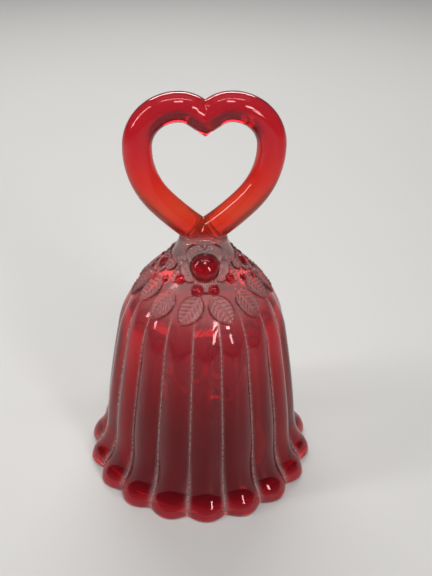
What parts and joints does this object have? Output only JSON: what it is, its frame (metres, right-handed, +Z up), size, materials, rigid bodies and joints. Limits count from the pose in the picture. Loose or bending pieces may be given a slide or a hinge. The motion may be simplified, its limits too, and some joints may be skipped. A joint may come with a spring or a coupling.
{
  "type": "hand bell",
  "caption": "Pressed ruby glass hand bell with a fluted, scalloped skirt, a floral shoulder, an open heart handle and a ball clapper on a wire chain.",
  "frame": {"origin": "on the bell's axis, in the plane of the rim that it stands on", "axes": "+Z up to the handle, the heart lies in the XZ plane, and -Y is the front"},
  "size_m": [0.0914, 0.0928, 0.156],
  "materials": {
    "ruby_glass": "clear ruby pressed glass, fire polished",
    "white_cement": "set white cement, matt and slightly porous",
    "steel_wire": "drawn wire, bright",
    "nickel_plate": "polished nickel plate"
  },
  "bodies": {
    "glass_bell": {"bell_body": "ruby_glass", "heart_handle": "ruby_glass", "cement_plug": "white_cement", "hanger_staple": "steel_wire"},
    "link_1": {"chain_link_1": "steel_wire"},
    "link_2": {"chain_link_2": "steel_wire"},
    "link_3": {"chain_link_3": "steel_wire"},
    "link_4": {"chain_link_4": "steel_wire"},
    "link_5": {"chain_link_5": "steel_wire"},
    "link_6": {"chain_link_6": "steel_wire"},
    "link_7": {"chain_link_7": "steel_wire"},
    "link_8": {"chain_link_8": "steel_wire"},
    "link_9": {"chain_link_9": "steel_wire"},
    "clapper": {"clapper_eye": "steel_wire", "clapper_ball": "nickel_plate"}
  },
  "joints": [
    {"name": "link_1_swing", "type": "hinge", "parent": "glass_bell", "child": "link_1", "pos_m": [0, 0, 0.079], "axis": [1, 0, 0], "range_deg": [-22, 22]},
    {"name": "link_2_swing", "type": "hinge", "parent": "link_1", "child": "link_2", "pos_m": [0, 0, 0.0739], "axis": [0, 1, 0], "range_deg": [-22, 22]},
    {"name": "link_3_swing", "type": "hinge", "parent": "link_2", "child": "link_3", "pos_m": [0, 0, 0.0688], "axis": [-1, 0, 0], "range_deg": [-12, 12]},
    {"name": "link_4_swing", "type": "hinge", "parent": "link_3", "child": "link_4", "pos_m": [0, 0, 0.0637], "axis": [0, -1, 0], "range_deg": [-12, 12]},
    {"name": "link_5_swing", "type": "hinge", "parent": "link_4", "child": "link_5", "pos_m": [0, 0, 0.0586], "axis": [1, 0, 0], "range_deg": [-12, 12]},
    {"name": "link_6_swing", "type": "hinge", "parent": "link_5", "child": "link_6", "pos_m": [0, 0, 0.0535], "axis": [0, 1, 0], "range_deg": [-12, 12]},
    {"name": "link_7_swing", "type": "hinge", "parent": "link_6", "child": "link_7", "pos_m": [0, 0, 0.0484], "axis": [-1, 0, 0], "range_deg": [-12, 12]},
    {"name": "link_8_swing", "type": "hinge", "parent": "link_7", "child": "link_8", "pos_m": [0, 0, 0.0433], "axis": [0, -1, 0], "range_deg": [-12, 12]},
    {"name": "link_9_swing", "type": "hinge", "parent": "link_8", "child": "link_9", "pos_m": [0, 0, 0.0382], "axis": [1, 0, 0], "range_deg": [-12, 12]},
    {"name": "clapper_swing", "type": "hinge", "parent": "link_9", "child": "clapper", "pos_m": [0, 0, 0.0331], "axis": [0, 1, 0], "range_deg": [-12, 12]}
  ]
}
